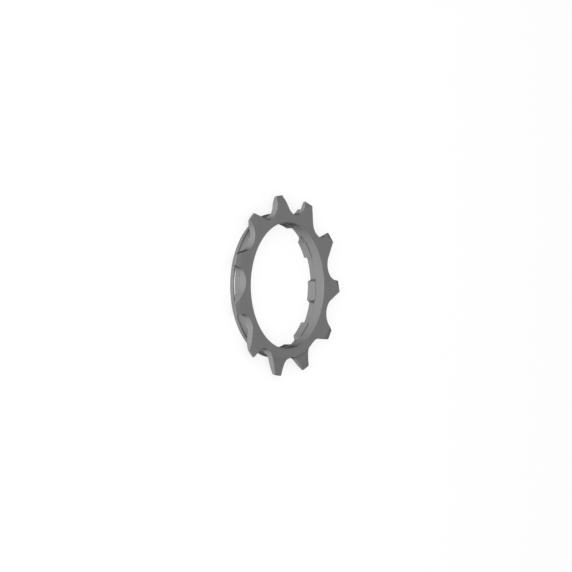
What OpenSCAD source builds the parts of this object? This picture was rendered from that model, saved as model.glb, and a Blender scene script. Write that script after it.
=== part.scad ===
// The smallest cog of a bicycle cassette, forged and machined from one piece of steel: a toothed
// plate, a spacer ring behind it, and a bore that is plain at the front and splined at the back.
// The axis is Z and the outer face looks up (+Z). The origin is on the axis, in the middle of the
// plate's thickness. Angles run counter-clockwise from +X, seen from the outer face.

/* [Chain] */
// Pitch of the chain, from roller to roller
chain_pitch = 12.7; // [12.4:0.05:13.4]
// Diameter of the chain's rollers
roller_d = 7.75; // [7.4:0.05:8]
// Number of teeth
tooth_count = 11; // [11:1:16]

/* [Toothed plate] */
// Thickness of the plate at the seats of the rollers
plate_t = 2.1; // [1.9:0.1:3]
// Thickness of the teeth, measured from the outer face
tooth_t = 1.6; // [1.4:0.05:1.8]
// Radial room between a roller and its seat
seat_room = 0.2; // [0.05:0.05:0.3]
// Lean of the steep flank that pulls the rollers, from the radius through the seat
drive_lean = 18; // [12:1:24]
// Lean of the long flank behind a tooth, from the radius through the seat
back_lean = 48; // [42:1:54]
// Height of the teeth above the pitch circle
tip_height = 0.65; // [0.3:0.05:1]
// Angle of the first seat's centre
first_seat = 14; // [0:1:32]
// Width of the tips along the tip circle
tip_w = 2.8; // [2:0.1:3.2]
// Angle from the middle between two seats to the middle of the tip
tip_lead = 2; // [1:0.25:3]
// Radial length of the bevels along the tips
tip_bevel_len = 1.7; // [0.8:0.1:2.2]
// Depth of the bevel at the tips, on the outer side
tip_bevel_outer = 0.4; // [0.1:0.05:0.5]
// Depth of the bevel at the tips, on the inner side
tip_bevel_inner = 0.7; // [0.1:0.05:0.8]
// Height of the root band above the bottoms of the seats, behind the teeth
root_band = 0.3; // [0.1:0.05:0.6]

/* [Shift features] */
// Number of the seat before the first tooth with an oblique bevel, counted from the first seat
oblique_seat = 10; // [0:1:10]
// Teeth with an oblique bevel, which falls away towards the seat ahead
oblique_teeth = 3; // [1:1:4]
// Turn of an oblique bevel's edge from the line of the tips
oblique_turn = 29; // [20:1:36]
// Slope of the oblique bevels
oblique_slope = 21; // [10:1:24]
// Number of the seat that the outer ramp starts at, counted from the first seat
ramp_seat = 7; // [0:1:10]
// Teeth that the outer ramp crosses
ramp_teeth = 2; // [1:1:3]
// Depth of the outer ramp in the middle of its length
ramp_depth = 0.35; // [0.2:0.05:0.6]
// Tilt of the outer ramp along the row of teeth
ramp_tilt = 1.6; // [0:0.1:2.5]
// Height of the ramp's foot above the bottoms of the seats
ramp_foot = 0.2; // [0.1:0.05:0.8]
// Radial length of the bevels at the tips of the ramp's teeth
ramp_bevel_len = 2.5; // [1.5:0.1:3]
// Depth of those bevels, on the outer side
ramp_bevel = 0.35; // [0.1:0.05:0.5]
// Depth of the bevel at the tips of the ramp's teeth, on the inner side
ramp_bevel_inner = 0.25; // [0.1:0.05:0.4]
// Turn of the edge of the flat where the chain meets the ramp's first tooth
entry_turn = 31; // [20:1:40]
// Slope of that flat
entry_slope = 7.5; // [4:0.5:12]
// Radial drop from the tips to the middle of that flat's edge
entry_drop = 0.6; // [0.2:0.1:1.2]
// Number of the seat before the tooth with the pad, counted from the first seat
pad_seat = 1; // [0:1:10]
// Radial drop from the pitch circle to the top of the pad
pad_drop = 1.65; // [1:0.05:2.2]
// Thickness of the padded tooth beyond its pad
pad_tip_t = 1.1; // [0.9:0.05:1.4]

/* [Spacer ring] */
// Width of the spacer ring behind the plate
ring_w = 2.9; // [2:0.1:5]
// Wall of the ring outside the plain bore, at the neck
neck_wall = 1.7; // [1.4:0.05:2]
// Width of the lip at the back
lip_w = 0.95; // [0.5:0.05:1.2]
// Height of the lip above the neck
lip_rise = 0.5; // [0.2:0.05:0.8]
// Fillets at both ends of the neck
neck_fillet = 0.35; // [0.1:0.05:0.4]

/* [Bore and splines] */
// Diameter of the plain bore
bore_d = 32.4; // [31.6:0.1:33]
// Length of the plain bore, from the outer face
bore_len = 2.7; // [2.2:0.1:3.5]
// Depth of the spline notches outside the plain bore
notch_depth = 1; // [0.6:0.05:1.2]
// Number of spline tabs
tab_count = 9; // [6:1:9]
// Radial step from the plain bore in to the tabs
tab_step = 0.2; // [0.2:0.05:0.8]
// Width of a tab's inner face
tab_w = 4.9; // [3:0.1:5.4]
// Flare of a tab's sides towards the notches
tab_flare = 31; // [0:1:34]
// Angle of the first tab's centre
first_tab = -4.8; // [-20:0.2:20]
// Number of the wide tab that keys the cog to its hub, counted from the first tab
key_tab = 7; // [0:1:8]
// Angle that the wide tab reaches beyond a plain one
key_reach = 6; // [4:0.5:12]

/* [Hidden] */
$fn = 180;
// Facets of the small rounds
round_fn = 40;
// How far a cutter runs out past the metal, and how far an added form is buried in it
cut = 0.5;
bury = 0.3;
// How far the cutter of a gap runs out along its flanks, and the width of a cut across a tooth
gap_run = 6;
face_cut_w = 8;

turn = 360 / tooth_count;
tab_turn = 360 / tab_count;

pitch_r = chain_pitch / (2 * sin(turn / 2));
seat_r = roller_d / 2 + seat_room;
root_r = pitch_r - seat_r;
tip_r = pitch_r + tip_height;
bevel_r = tip_r - tip_bevel_len;
ramp_bevel_r = tip_r - ramp_bevel_len;
band_r = root_r + root_band;
pad_r = pitch_r - pad_drop;
foot_r = root_r + ramp_foot;
bore_r = bore_d / 2;
notch_r = bore_r + notch_depth;
tab_r = bore_r - tab_step;
neck_r = bore_r + neck_wall;
lip_r = neck_r + lip_rise;

front_z = plate_t / 2;
tooth_back_z = front_z - tooth_t;
plate_back_z = -plate_t / 2;
back_z = plate_back_z - ring_w;
lip_z = back_z + lip_w;
step_z = front_z - bore_len;

// A flat wedge from the axis out to a radius, between two angles
module wedge(from, to, r, h) {
    steps = 4;
    step = (to - from) / steps;
    linear_extrude(h)
        polygon([[0, 0], for (k = [0 : steps])
            r / cos(step / 2) * [cos(from + k * step), sin(from + k * step)]]);
}

// The sector of some teeth, from the seat before the first of them to the seat after the last
module sector(seat, teeth, h)
    rotate(first_seat + seat * turn) wedge(0, teeth * turn, tip_r + cut, h);

// The ring that a bevel takes off along the tips, above a cone that falls from a radius outwards
module bevel_ring(from_r, drop)
    rotate_extrude()
        polygon([
            [from_r, 0],
            [tip_r + cut, -drop * (tip_r + cut - from_r) / (tip_r - from_r)],
            [tip_r + cut, cut],
            [from_r, cut]
        ]);

// The plate before its teeth are cut: thinner behind the teeth than at the root band, and rounded
// where the band rises out of the teeth
module plate_blank() {
    band_rise = tooth_back_z - plate_back_z;
    rotate_extrude()
        difference() {
            polygon([
                [0, plate_back_z],
                [band_r + band_rise, plate_back_z],
                [band_r + band_rise, tooth_back_z],
                [tip_r, tooth_back_z],
                [tip_r, front_z],
                [0, front_z]
            ]);
            translate([band_r + band_rise, plate_back_z]) circle(band_rise, $fn = round_fn);
        }
}

// The pad behind one tooth, which lines the chain up as it climbs on
module pad()
    rotate(first_seat + pad_seat * turn)
        intersection() {
            translate([0, 0, plate_back_z]) wedge(0, turn, tip_r, plate_t);
            rotate_extrude()
                translate([neck_r, plate_back_z])
                    square([pad_r - neck_r, tooth_back_z - plate_back_z + bury]);
        }

// The step beyond the pad, which thins the tip of the same tooth from behind
module pad_tip_cut()
    rotate(first_seat + pad_seat * turn)
        translate([0, 0, plate_back_z - cut])
            difference() {
                wedge(0, turn, tip_r + cut, cut + plate_t - pad_tip_t);
                translate([0, 0, -cut]) cylinder(r = pad_r, h = plate_t + 2 * cut);
            }

// A bevel along the tips of some teeth, on the inner side
module inner_bevel(seat, teeth, depth)
    intersection() {
        translate([0, 0, tooth_back_z]) mirror([0, 0, 1]) bevel_ring(bevel_r, depth);
        translate([0, 0, -plate_t]) sector(seat, teeth, 3 * plate_t);
    }

// The bevels along the tips. The outer one leaves out the oblique teeth, and the inner one is
// shallower on the teeth of the ramp, which are thinned from the outside
module tip_bevels() {
    intersection() {
        translate([0, 0, front_z]) bevel_ring(bevel_r, tip_bevel_outer);
        translate([0, 0, -plate_t])
            sector(oblique_seat + oblique_teeth, tooth_count - oblique_teeth, 3 * plate_t);
    }
    inner_bevel(ramp_seat + ramp_teeth, tooth_count - ramp_teeth, tip_bevel_inner);
    inner_bevel(ramp_seat, ramp_teeth, ramp_bevel_inner);
}

// A flat sloping cut across the outer face of one tooth, outside a straight edge through a point
module face_cut(seat, point, edge_turn, slope)
    rotate(first_seat + (seat + 0.5) * turn + tip_lead)
        translate([point.x, point.y, front_z])
            rotate(edge_turn)
                rotate([0, slope, 0])
                    translate([0, -face_cut_w / 2, 0])
                        cube([face_cut_w / 2, face_cut_w, plate_t]);

// The oblique bevels, each from the corner of the tip that lies behind
module oblique_bevels()
    for (i = [0 : oblique_teeth - 1])
        face_cut(oblique_seat + i, [tip_r, -tip_w / 2], oblique_turn, oblique_slope);

// The ramp across the outer face, with a coned foot along the bottoms of the seats, bevels at the
// tips of its teeth, and a flat that leads the chain on to the first of them
module outer_ramp() {
    rotate(first_seat + (ramp_seat + ramp_teeth / 2) * turn)
        rotate([-ramp_tilt, 0, 0])
            translate([0, 0, front_z - ramp_depth]) {
                difference() {
                    wedge(-ramp_teeth * turn / 2, ramp_teeth * turn / 2, tip_r + cut, plate_t);
                    translate([0, 0, -cut])
                        cylinder(
                            r1 = foot_r + ramp_depth + cut,
                            r2 = foot_r - plate_t,
                            h = cut + ramp_depth + plate_t
                        );
                }
                intersection() {
                    bevel_ring(ramp_bevel_r, ramp_bevel);
                    translate([0, 0, -plate_t])
                        wedge(-ramp_teeth * turn / 2, ramp_teeth * turn / 2, tip_r + cut, 3 * plate_t);
                }
            }
    face_cut(ramp_seat, [tip_r - entry_drop, 0], -entry_turn, entry_slope);
}

// One gap between two teeth, lying along +X: the roller's seat and the two flanks that touch it
module gap() {
    steep = [pitch_r - seat_r * sin(drive_lean), -seat_r * cos(drive_lean)];
    long = [pitch_r - seat_r * sin(back_lean), seat_r * cos(back_lean)];
    translate([0, 0, plate_back_z - cut]) {
        linear_extrude(plate_t + 2 * cut)
            polygon([
                [pitch_r, 0],
                steep,
                steep + gap_run * [1, -tan(drive_lean)],
                long + gap_run * [1, tan(back_lean)],
                long
            ]);
        translate([pitch_r, 0, 0]) cylinder(r = seat_r, h = plate_t + 2 * cut);
    }
}

module toothed_plate()
    difference() {
        union() {
            plate_blank();
            pad();
        }
        tip_bevels();
        oblique_bevels();
        pad_tip_cut();
        outer_ramp();
        for (i = [0 : tooth_count - 1])
            rotate(first_seat + i * turn) gap();
    }

// The groove between the plate and the lip, with a round at each end of its floor
module neck_groove() {
    depth = lip_r - neck_r + cut;
    width = plate_back_z - lip_z;
    translate([neck_r + neck_fillet, lip_z]) square([depth, width]);
    translate([neck_r, lip_z + neck_fillet]) square([depth, width - 2 * neck_fillet]);
    for (z = [lip_z + neck_fillet, plate_back_z - neck_fillet])
        translate([neck_r + neck_fillet, z]) circle(neck_fillet, $fn = round_fn);
}

// The spacer ring before it is bored: a neck and a lip behind the plate
module spacer_blank()
    rotate_extrude()
        difference() {
            translate([0, back_z]) square([lip_r, plate_back_z - back_z + bury]);
            neck_groove();
        }

// One spline tab at +X, from inside the bore to beyond the bottoms of the notches
module tab() {
    outer_r = notch_r + bury;
    flare = (outer_r - tab_r) * tan(tab_flare);
    translate([0, 0, back_z])
        linear_extrude(step_z - back_z)
            polygon([
                [tab_r - cut, -tab_w / 2],
                [tab_r, -tab_w / 2],
                [outer_r, -tab_w / 2 - flare],
                [outer_r, tab_w / 2 + flare],
                [tab_r, tab_w / 2],
                [tab_r - cut, tab_w / 2]
            ]);
}

// The hole for the hub: bored to the tabs, opened out to the plain bore, and notched from behind
module hub_hole() {
    translate([0, 0, back_z - cut]) cylinder(r = tab_r, h = front_z - back_z + 2 * cut);
    translate([0, 0, step_z]) cylinder(r = bore_r, h = bore_len + cut);
    difference() {
        translate([0, 0, back_z - cut]) cylinder(r = notch_r, h = step_z - back_z + cut);
        for (i = [0 : tab_count - 1])
            rotate(first_tab + i * tab_turn) tab();
        rotate(first_tab + key_tab * tab_turn + key_reach) tab();
    }
}

module cog()
    color([0.45, 0.45, 0.45])
        difference() {
            union() {
                toothed_plate();
                spacer_blank();
            }
            hub_hole();
        }

cog();
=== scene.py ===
# %% [markdown]
# # The smallest cog of a bicycle cassette
#
# This lesson dresses one machine part: a small toothed ring of satin steel with a spacer ring
# behind it and a splined bore. The shape comes from a CAD model, so the work here is what turns a
# CAD shape into a real thing: broken edges, a machined skin, a camera, a floor and soft light.
# Everything is in metres. The cog's axis is Z and its outer face looks up.

# %% Load the CAD frame
import math
import bmesh
import bpy
from mathutils import Matrix, Vector
from mathutils.bvhtree import BVHTree
from mathutils.geometry import delaunay_2d_cdt
from mathutils.kdtree import KDTree


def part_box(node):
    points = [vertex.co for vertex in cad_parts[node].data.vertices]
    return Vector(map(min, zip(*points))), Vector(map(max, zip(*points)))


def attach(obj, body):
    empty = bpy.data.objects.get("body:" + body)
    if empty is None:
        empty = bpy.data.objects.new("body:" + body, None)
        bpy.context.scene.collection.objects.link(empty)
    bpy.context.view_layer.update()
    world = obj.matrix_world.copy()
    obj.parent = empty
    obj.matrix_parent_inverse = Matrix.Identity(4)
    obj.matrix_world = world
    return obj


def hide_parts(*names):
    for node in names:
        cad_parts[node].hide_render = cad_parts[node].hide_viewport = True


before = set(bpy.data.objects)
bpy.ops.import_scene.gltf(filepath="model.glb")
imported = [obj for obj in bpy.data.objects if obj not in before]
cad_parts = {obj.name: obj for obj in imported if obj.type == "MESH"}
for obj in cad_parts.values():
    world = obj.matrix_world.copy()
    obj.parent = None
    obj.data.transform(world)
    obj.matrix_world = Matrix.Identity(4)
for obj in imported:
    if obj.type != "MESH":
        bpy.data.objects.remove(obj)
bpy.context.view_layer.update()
MM = 0.001
cog_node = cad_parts["cog"]
low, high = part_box("cog")
sides_mm = [round((b - a) / MM, 2) for a, b in zip(low, high)]
print("CAD cog:", len(cog_node.data.polygons), "triangles,", sides_mm, "mm")

# %% [markdown]
# ## The camera
#
# The reference looks down on the outer face from one side, with hardly any perspective. An
# orthographic camera could do that, but a very long lens far away gives the same look and still
# behaves as a real camera. The cog lies flat, so the camera is rolled until the cog's +Y points up
# in the picture.

# %% Place the camera
PICTURE_PX = 572
MM_PER_PX = 0.256
SENSOR_MM = 36.0
LENS_MM = 1000.0
TO_CAMERA = (-0.816, 0.0, 0.578)
AIM_RIGHT_MM = -0.42
AIM_UP_MM = -0.10

to_camera = Vector(TO_CAMERA).normalized()
camera_up = Vector((0.0, 1.0, 0.0))
camera_right = camera_up.cross(to_camera)
bore_centre = Vector((0.0, 0.0, high.z))
aim = bore_centre + camera_right * (AIM_RIGHT_MM * MM) + camera_up * (AIM_UP_MM * MM)
frame_width = PICTURE_PX * MM_PER_PX * MM
distance = frame_width * LENS_MM / SENSOR_MM

lens = bpy.data.cameras.new("long_lens")
lens.lens = LENS_MM
lens.sensor_width = SENSOR_MM
lens.clip_start = 0.1
lens.clip_end = 100.0
camera = bpy.data.objects.new("camera", lens)
bpy.context.scene.collection.objects.link(camera)
axes = Matrix((camera_right, camera_up, to_camera)).transposed()
camera.matrix_world = Matrix.Translation(aim + to_camera * distance) @ axes.to_4x4()
bpy.context.scene.camera = camera
print("camera", round(distance, 2), "m away, seeing", round(frame_width / MM, 1), "mm across")

# %% [markdown]
# ## The cog's own skin
#
# A CAD solid has knife-sharp edges, and no real part has. After machining, cogs are tumbled, which
# rounds every edge by a tenth of a millimetre, and those narrow rounds catch the light. The rounds
# could be drawn in the CAD model, but that would make the solid heavy and gain nothing there. The
# CAD mesh is loose triangles, so a copy is merged first, flat faces are joined back into one
# polygon each, and a Bevel modifier then rounds only the edges that are really sharp.

# %% Small helpers for edit mode
def deselect_all():
    for thing in bpy.context.selected_objects:
        thing.select_set(False)


def activate(piece):
    deselect_all()
    piece.select_set(True)
    bpy.context.view_layer.objects.active = piece


# %% Copy the cog, and keep each corner's true normal while its triangles are merged
MERGE_MM = 0.002
SLIVER_MM = 0.012

cog = bpy.data.objects.new("cog_steel", cog_node.data.copy())
bpy.context.scene.collection.objects.link(cog)
activate(cog)
skin = cog.data
corner_normals = [0.0] * (3 * len(skin.loops))
skin.corner_normals.foreach_get("vector", corner_normals)
true_normal = skin.attributes.new("true_normal", "FLOAT_VECTOR", "CORNER")
true_normal.data.foreach_set("vector", corner_normals)
bpy.ops.mesh.customdata_custom_splitnormals_clear()
bpy.ops.object.mode_set(mode="EDIT")
bpy.ops.mesh.select_all(action="SELECT")
bpy.ops.mesh.remove_doubles(threshold=MERGE_MM * MM)
bpy.ops.mesh.dissolve_degenerate(threshold=SLIVER_MM * MM)
bpy.ops.object.mode_set(mode="OBJECT")
print("merged:", len(skin.vertices), "points,", len(skin.polygons), "faces")

# %% [markdown]
# The neck behind the teeth ends in a hollow round at the plate and another at the lip. The CAD mesh
# has good points there, but it joins them with long slivers that cut across the hollow and show as
# scallops. So the points stay, and the faces between them are laid again. The round is unrolled
# into a flat strip, where a Delaunay triangulation joins near neighbours, and rolled up once more.
# Points near the strip's ends are there twice, once at each end, so that the ends meet.

# %% Unroll a hollow round
NECK_MM = 17.9
HOLLOW_MM = 0.35
ON_HOLLOW_MM = 0.004
ROWS = 11
COLUMNS = 118
END_ROW = 0.3
LEAN = 0.03


def unrolled(shell, centre_z, side):
    """The points on a quarter round, with their places on the flat strip: one unit is one facet."""
    strip = []
    for point in shell.verts:
        inward = NECK_MM + HOLLOW_MM - point.co.xy.length / MM
        along = (point.co.z / MM - centre_z) * side
        off = abs(math.hypot(inward, along) - HOLLOW_MM)
        if off < ON_HOLLOW_MM and min(inward, along) > -ON_HOLLOW_MM:
            row = math.atan2(along, inward) / (math.pi / 2) * ROWS
            if min(row, ROWS - row) < END_ROW:
                row = float(round(row))
            column = math.atan2(point.co.y, point.co.x) / (2 * math.pi) * COLUMNS
            strip.append((point, Vector((column + LEAN * row, row))))
    return strip


# %% Join the points of a strip
OVERLAP = 4.0
SAME_PLACE = 1e-6


def joined(strip):
    """Triples of points that are neighbours on the strip, whose two ends meet."""
    half = COLUMNS / 2
    places = list(strip)
    for point, place in strip:
        if abs(place.x) > half - OVERLAP:
            places.append((point, place - Vector((math.copysign(COLUMNS, place.x), 0.0))))
    flat = [place for _, place in places]
    _, _, faces, origins, _, _ = delaunay_2d_cdt(flat, [], [], 0, SAME_PLACE)
    triples = []
    for face in faces:
        corners = [origins[k][0] for k in face]
        middle = sum(flat[k].x for k in corners) / 3
        if -half <= middle < half:
            triples.append([places[k][0] for k in corners])
    return triples


# %% Lay the faces of both hollow rounds again
PLATE_SIDE = (-1.40, 1.0)
LIP_SIDE = (-2.65, -1.0)

shell = bmesh.new()
shell.from_mesh(skin)
for centre_z, side in (PLATE_SIDE, LIP_SIDE):
    strip = unrolled(shell, centre_z, side)
    on_round = {point for point, _ in strip}
    slivers = [face for face in shell.faces if all(point in on_round for point in face.verts)]
    bmesh.ops.delete(shell, geom=slivers, context="FACES_ONLY")
    laid = [shell.faces.new(triple) for triple in joined(strip)]
    for face in laid:
        face.normal_update()
        middle = face.calc_center_median()
        hollow = middle.xy.normalized().to_3d() * ((NECK_MM + HOLLOW_MM) * MM)
        hollow.z = centre_z * MM
        if face.normal.dot(hollow - middle) < 0.0:
            face.normal_flip()
    print("hollow round:", len(strip), "points,", len(slivers), "slivers,", len(laid), "faces laid")
loose = [edge for edge in shell.edges if not edge.link_faces]
bmesh.ops.delete(shell, geom=loose, context="EDGES")
closed = all(len(edge.link_faces) == 2 for edge in shell.edges)
if closed:
    shell.to_mesh(skin)
shell.free()
print("the new faces", "close the skin" if closed else "left a gap, so the CAD's faces stay")

# %% Measure how far the surface turns across an edge
CAD_NORMAL = 0.5


def turn_across(edge):
    """The largest angle, in degrees, between the CAD normals of two faces at an edge's ends."""
    one, other = edge.link_faces
    widest = 0.0
    for point in edge.verts:
        normals = [next(c[layer] for c in face.loops if c.vert == point) for face in (one, other)]
        if min(n.length for n in normals) > CAD_NORMAL:
            widest = max(widest, math.degrees(normals[0].angle(normals[1])))
    return widest


# %% Mark the edges where the CAD surface really turns
CREASE_DEG = 5.0
ROUNDED_DEG = 22.0

shell = bmesh.new()
shell.from_mesh(skin)
layer = shell.loops.layers.float_vector["true_normal"]
weight = shell.edges.layers.float.new("bevel_weight_edge")
creases, open_edges = 0, 0
for edge in shell.edges:
    if len(edge.link_faces) != 2:
        open_edges += 1
        continue
    turn = turn_across(edge)
    edge.smooth = turn < CREASE_DEG
    creases += not edge.smooth
    edge[weight] = 1.0 if turn > ROUNDED_DEG and edge.is_convex else 0.0
for face in shell.faces:
    face.smooth = True
shell.to_mesh(skin)
shell.free()
skin.attributes.remove(skin.attributes["true_normal"])
print("creases:", creases, "open edges:", open_edges)

# %% Join the flat faces
FLAT_DEG = 0.4

activate(cog)
bpy.ops.object.mode_set(mode="EDIT")
bpy.ops.mesh.select_all(action="SELECT")
bpy.ops.mesh.dissolve_limited(angle_limit=math.radians(FLAT_DEG), delimit={"SHARP"})
bpy.ops.object.mode_set(mode="OBJECT")
print("joined:", len(skin.polygons), "faces")

# %% [markdown]
# A bevel can go wrong where an edge runs over facets that are narrower than the round itself: its
# points leave the metal, or its faces turn inside out. So each try is made on a copy and measured
# against the sharp shape, and the edges near a fault stay sharp in the next try.

# %% One try at rounding the edges
EDGE_ROUND_MM = 0.08


def rounded_copy(piece):
    trial = bpy.data.objects.new("trial", piece.data.copy())
    bpy.context.scene.collection.objects.link(trial)
    activate(trial)
    rounding = trial.modifiers.new("tumbled_edges", "BEVEL")
    rounding.width = EDGE_ROUND_MM * MM
    rounding.segments = 2
    rounding.limit_method = "WEIGHT"
    rounding.use_clamp_overlap = False
    rounding.harden_normals = True
    rounding.miter_outer = "MITER_ARC"
    bpy.ops.object.modifier_apply(modifier=rounding.name)
    return trial


# %% Look for faults in a try
PROUD_MM = 0.006
INSIDE_OUT = -0.2


def faults_of(mesh, sharp_shape):
    """Points that stand proud of the sharp shape or far inside it, and faces turned inside out."""
    found = []
    for point in mesh.vertices:
        near, normal, _, away = sharp_shape.find_nearest(point.co)
        proud = (point.co - near).dot(normal) > PROUD_MM * MM and away > PROUD_MM * MM
        if proud or away > EDGE_ROUND_MM * MM:
            found.append(point.co.copy())
    for face in mesh.polygons:
        normal = sharp_shape.find_nearest(face.center)[1]
        if face.normal.dot(normal) < INSIDE_OUT:
            found.append(face.center.copy())
    return found


# %% Round the edges, and step back where a try goes wrong
STEP_BACK_MM = 0.15
TRIES = 5

shell = bmesh.new()
shell.from_mesh(skin)
sharp_shape = BVHTree.FromBMesh(shell)
weight = shell.edges.layers.float["bevel_weight_edge"]
for attempt in range(TRIES):
    trial = rounded_copy(cog)
    faults = faults_of(trial.data, sharp_shape)
    nearby = KDTree(len(faults))
    for index, place in enumerate(faults):
        nearby.insert(place, index)
    nearby.balance()
    left_sharp = 0
    for edge in shell.edges:
        if faults and edge[weight] > 0.0:
            start, end = (point.co for point in edge.verts)
            spots = (start, end, (start + end) / 2)
            if min(nearby.find(spot)[2] for spot in spots) < STEP_BACK_MM * MM:
                edge[weight] = 0.0
                left_sharp += 1
    print("try", attempt, "faults:", len(faults), "edges left sharp:", left_sharp)
    if left_sharp == 0:
        break
    shell.to_mesh(skin)
    bpy.data.objects.remove(trial)
shell.free()

# %% Keep the last try as the cog's skin, and mark its rounded edges for the shader
ROUND_FACE_MM = 0.004

trial.data.name = "cog_steel"
cog.data = trial.data
bpy.data.objects.remove(trial)
marks = []
for face in cog.data.polygons:
    away = sharp_shape.find_nearest(face.center)[3]
    marks.append(1.0 if away > ROUND_FACE_MM * MM else 0.0)
tumbled = cog.data.attributes.new("tumbled_edge", "FLOAT", "FACE")
tumbled.data.foreach_set("value", marks)
print("rounded:", len(cog.data.polygons), "faces, of which", int(sum(marks)), "on the edges")

# %% [markdown]
# ## A small language for shader maths
#
# Each value in a shader is a socket. This class wraps one and gives it plus, minus, times and the
# rest, so a pattern reads as a formula while Blender gets ordinary Math nodes.

# %% Shader maths
class Value:
    def __init__(self, tree, socket):
        self.tree, self.socket = tree, socket

    def _math(self, operation, a, b=None):
        maths = self.tree.nodes.new("ShaderNodeMath")
        maths.operation = operation
        for place, term in enumerate((a, b)):
            if isinstance(term, Value):
                self.tree.links.new(term.socket, maths.inputs[place])
            elif term is not None:
                maths.inputs[place].default_value = term
        return Value(self.tree, maths.outputs[0])

    def __add__(self, other): return self._math("ADD", self, other)
    def __radd__(self, other): return self._math("ADD", other, self)
    def __sub__(self, other): return self._math("SUBTRACT", self, other)
    def __rsub__(self, other): return self._math("SUBTRACT", other, self)
    def __mul__(self, other): return self._math("MULTIPLY", self, other)
    def __rmul__(self, other): return self._math("MULTIPLY", other, self)
    def __pow__(self, other): return self._math("POWER", self, other)
    def __abs__(self): return self._math("ABSOLUTE", self)
    def at_most(self, other): return self._math("MINIMUM", self, other)
    def at_least(self, other): return self._math("MAXIMUM", self, other)

    def sibling(self, which):
        """Another output of the node that this value comes from."""
        return Value(self.tree, self.socket.node.outputs[which])


# %% One method for any other node
class Shader:
    """One material's node tree. An input is named, or numbered as i0, i6 where names repeat."""

    def __init__(self, name):
        self.material = bpy.data.materials.new(name)
        self.material.use_nodes = True
        self.tree = self.material.node_tree
        self.tree.nodes.clear()

    def node(self, kind, settings=None, out=0, **inputs):
        made = self.tree.nodes.new("ShaderNode" + kind)
        for name, setting in (settings or {}).items():
            setattr(made, name, setting)
        for name, given in inputs.items():
            numbered = name[0] == "i" and name[1:].isdigit()
            socket = made.inputs[int(name[1:]) if numbered else name.replace("_", " ")]
            if isinstance(given, Value):
                self.tree.links.new(given.socket, socket)
            else:
                socket.default_value = given
        return Value(self.tree, made.outputs[out]) if made.outputs else made


# %% [markdown]
# ## The steel
#
# Three processes leave their marks on such a cog. The faces, the bore and the spacer ring are turned
# on a lathe, which leaves fine rings. The teeth are cut through the sheet, which leaves drag lines
# along the thickness. Tumbling then rounds the edges and dulls everything with an even grain, and
# the chain's rollers smooth the seats and flanks first. All of it is small change on one grey: a
# little in the colour, more in the roughness and the relief. It could be painted on an unwrapped
# map, but the patterns here run on the radius, the height and the place in the metal, so nothing
# needs unwrapping and nothing can stretch.

# %% What the patterns run on
steel = Shader("satin_steel")
place = steel.node("TexCoord", out=3)
apart = steel.node("SeparateXYZ", Vector=place)
x_part, y_part, z_part = (apart.sibling(k) for k in range(3))
radius_mm = ((x_part * x_part + y_part * y_part) ** 0.5) * 1000.0
height_mm = z_part * 1000.0
normal = steel.node("NewGeometry", out=1)
facing_z = abs(steel.node("SeparateXYZ", Vector=normal).sibling(2))


def ramp_up(value, start, end):
    """From 0 at start to 1 at end, and flat outside."""
    return ((value - start) * (1.0 / (end - start))).at_least(0.0).at_most(1.0)


print("coordinates:", len(steel.tree.nodes), "nodes")

# %% Where each finish lies
FLAT_FACE = (0.90, 0.98)
UPRIGHT_WALL = (0.4, 0.1)
INSIDE_SEATS_MM = (18.45, 18.25)
BEHIND_PLATE_MM = (-1.05, -1.20)
PAST_SEAT_BOTTOM_MM = (18.3, 18.6)
BELOW_TIPS_MM = (22.0, 20.8)

faced = ramp_up(facing_z, *FLAT_FACE)
bored = ramp_up(radius_mm, *INSIDE_SEATS_MM)
behind_plate = ramp_up(height_mm, *BEHIND_PLATE_MM)
turned = faced.at_least(bored).at_least(behind_plate)
cut_through = ramp_up(facing_z, *UPRIGHT_WALL) * (1.0 - turned)
touched_by_rollers = ramp_up(radius_mm, *PAST_SEAT_BOTTOM_MM) * ramp_up(radius_mm, *BELOW_TIPS_MM)
rolled = touched_by_rollers * cut_through
worn_edge = steel.node("Attribute", {"attribute_name": "tumbled_edge"}, out=2)
print("finishes placed:", len(steel.tree.nodes), "nodes so far")

# %% The patterns: each swings a little either side of nothing
RINGS_PER_MM = 6.0
LINES_PER_M = 3200.0
GRAIN_PER_M = 4200.0
CLOUDS_PER_M = 140.0
DRAG = 0.04
NOISE_MIDDLE = 0.5


def pattern(at, scale, detail, roughness):
    noise = steel.node("TexNoise", Vector=at, Scale=scale, Detail=detail, Roughness=roughness)
    return noise - NOISE_MIDDLE


rings_at = steel.node("CombineXYZ", X=radius_mm, Y=0.0, Z=height_mm)
drag_at = steel.node("CombineXYZ", X=x_part, Y=y_part, Z=z_part * DRAG)
patterns = {
    "cloud": pattern(place, CLOUDS_PER_M, 3.0, 0.55),
    "grain": pattern(place, GRAIN_PER_M, 2.0, 0.6),
    "rings": pattern(rings_at, RINGS_PER_MM, 3.0, 0.6) * turned,
    "lines": pattern(drag_at, LINES_PER_M, 2.0, 0.6) * cut_through,
    "rolled": rolled,
    "worn_edge": worn_edge,
}
print("patterns:", ", ".join(patterns))

# %% [markdown]
# Tumbled edges are duller than the faces and a touch paler, and rolled seats are smoother. The edge
# tint is black, so the steel doesn't flare where it is seen at a grazing angle.

# %% The steel itself
STEEL = (0.32, 0.32, 0.325, 1.0)
METALLIC = 0.85
ROUGHNESS = 0.46
ROUGHER = {
    "cloud": 0.14, "grain": 0.12, "rings": 0.20, "lines": 0.16, "rolled": -0.05, "worn_edge": 0.14
}
PALER = {
    "cloud": 0.12, "grain": 0.12, "rings": 0.22, "lines": 0.16, "rolled": 0.03, "worn_edge": 0.04
}
HIGHER = {"rings": 0.7, "lines": 0.6, "grain": 0.4}
RELIEF_M = 0.00003
RELIEF_STRENGTH = 0.8


def mixed(base, shares):
    for name, share in shares.items():
        base = base + patterns[name] * share
    return base


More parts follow.
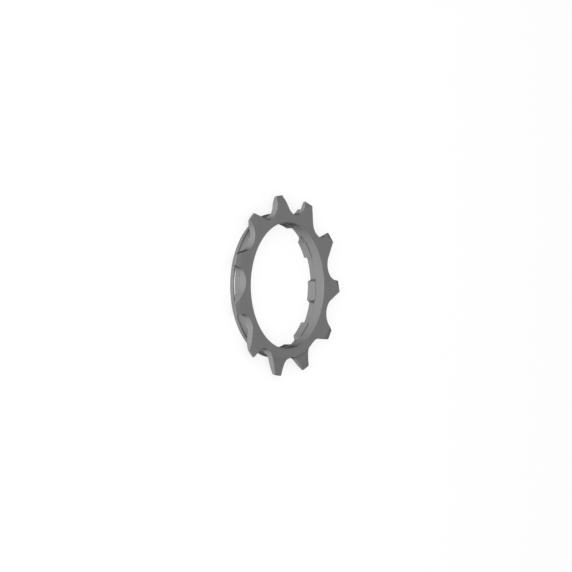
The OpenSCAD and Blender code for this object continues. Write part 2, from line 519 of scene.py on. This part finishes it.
tone = mixed(1.0, PALER)
multiply = {"data_type": "RGBA", "blend_type": "MULTIPLY"}
colour = steel.node("Mix", multiply, out=2, i0=1.0, i6=STEEL, i7=tone)
relief = mixed(0.0, HIGHER)
bump = steel.node("Bump", Strength=RELIEF_STRENGTH, Distance=RELIEF_M, Height=relief)
surface = steel.node(
    "BsdfPrincipled",
    {"distribution": "GGX"},
    Base_Color=colour,
    Metallic=METALLIC,
    Specular_IOR_Level=0.0,
    Specular_Tint=(0.0, 0.0, 0.0, 1.0),
    Roughness=mixed(ROUGHNESS, ROUGHER),
    Normal=bump,
)
steel.node("OutputMaterial", Surface=surface)
print("steel:", len(steel.tree.nodes), "nodes")

# %% Dress the cog, hang it on the root, and hide the CAD cog it stands for
cog.data.materials.clear()
cog.data.materials.append(steel.material)
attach(cog, "root")
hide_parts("cog")
print("cog_steel rides on root and stands for the CAD cog")

# %% [markdown]
# ## The floor
#
# The background of the reference is white. More light on a pale floor would make it white, but the
# cog would wash out with it. So the floor stays pale, keeps the cog's shadow, and lifts to white
# only in what the camera and the reflections see.

# %% Lay the floor
FLOOR_SIZE = 6.0
PAPER = (0.3, 0.3, 0.3, 1.0)
WHITE = (1.0, 1.0, 1.0, 1.0)
LIFT = 0.74

deselect_all()
bpy.ops.mesh.primitive_plane_add(size=FLOOR_SIZE, location=(0.0, 0.0, low.z))
floor = bpy.context.object
floor.name = "floor"
paper = Shader("pale_paper")
camera_ray = paper.node("LightPath")
seen = (
    camera_ray + camera_ray.sibling("Is Glossy Ray") + camera_ray.sibling("Is Transmission Ray")
).at_most(1.0)
matt = paper.node("BsdfDiffuse", Color=PAPER)
lifted = paper.node("Emission", Color=WHITE, Strength=seen * LIFT)
both = paper.node("AddShader", i0=matt, i1=lifted)
paper.node("OutputMaterial", Surface=both)
floor.data.materials.append(paper.material)
print("floor at", round(low.z / MM, 2), "mm")

# %% [markdown]
# ## The light
#
# One broad soft lamp stands near the camera, so what faces the camera is lit and what turns away
# falls off into shade. A plain even sky fills the rest, and the flat outer face, which mirrors the
# sky rather than the lamp, takes its grey from it. A ring of lamps would light every wall alike and
# lose the shape.

# %% Hang the lamp
KEY_SIDEWAYS = 0.03
KEY_AWAY = 1.0
KEY_SIZE = 0.6
KEY_WATTS = 8.5

toward_key = Vector((TO_CAMERA[0], KEY_SIDEWAYS, TO_CAMERA[2])).normalized()
key_light = bpy.data.lights.new("key", "AREA")
key_light.shape = "DISK"
key_light.size = KEY_SIZE
key_light.energy = KEY_WATTS
key = bpy.data.objects.new("key", key_light)
bpy.context.scene.collection.objects.link(key)
key.location = toward_key * KEY_AWAY
key.rotation_mode = "QUATERNION"
key.rotation_quaternion = toward_key.to_track_quat("Z", "Y")
print("lamp at", [round(c, 2) for c in key.location])

# %% Fill with an even sky
SKY = 0.47

world = bpy.data.worlds.new("dim_sky")
bpy.context.scene.world = world
world.use_nodes = True
sky = world.node_tree.nodes["Background"]
sky.inputs["Color"].default_value = WHITE
sky.inputs["Strength"].default_value = SKY
bpy.context.scene.view_settings.view_transform = "Standard"
print("sky at", SKY)
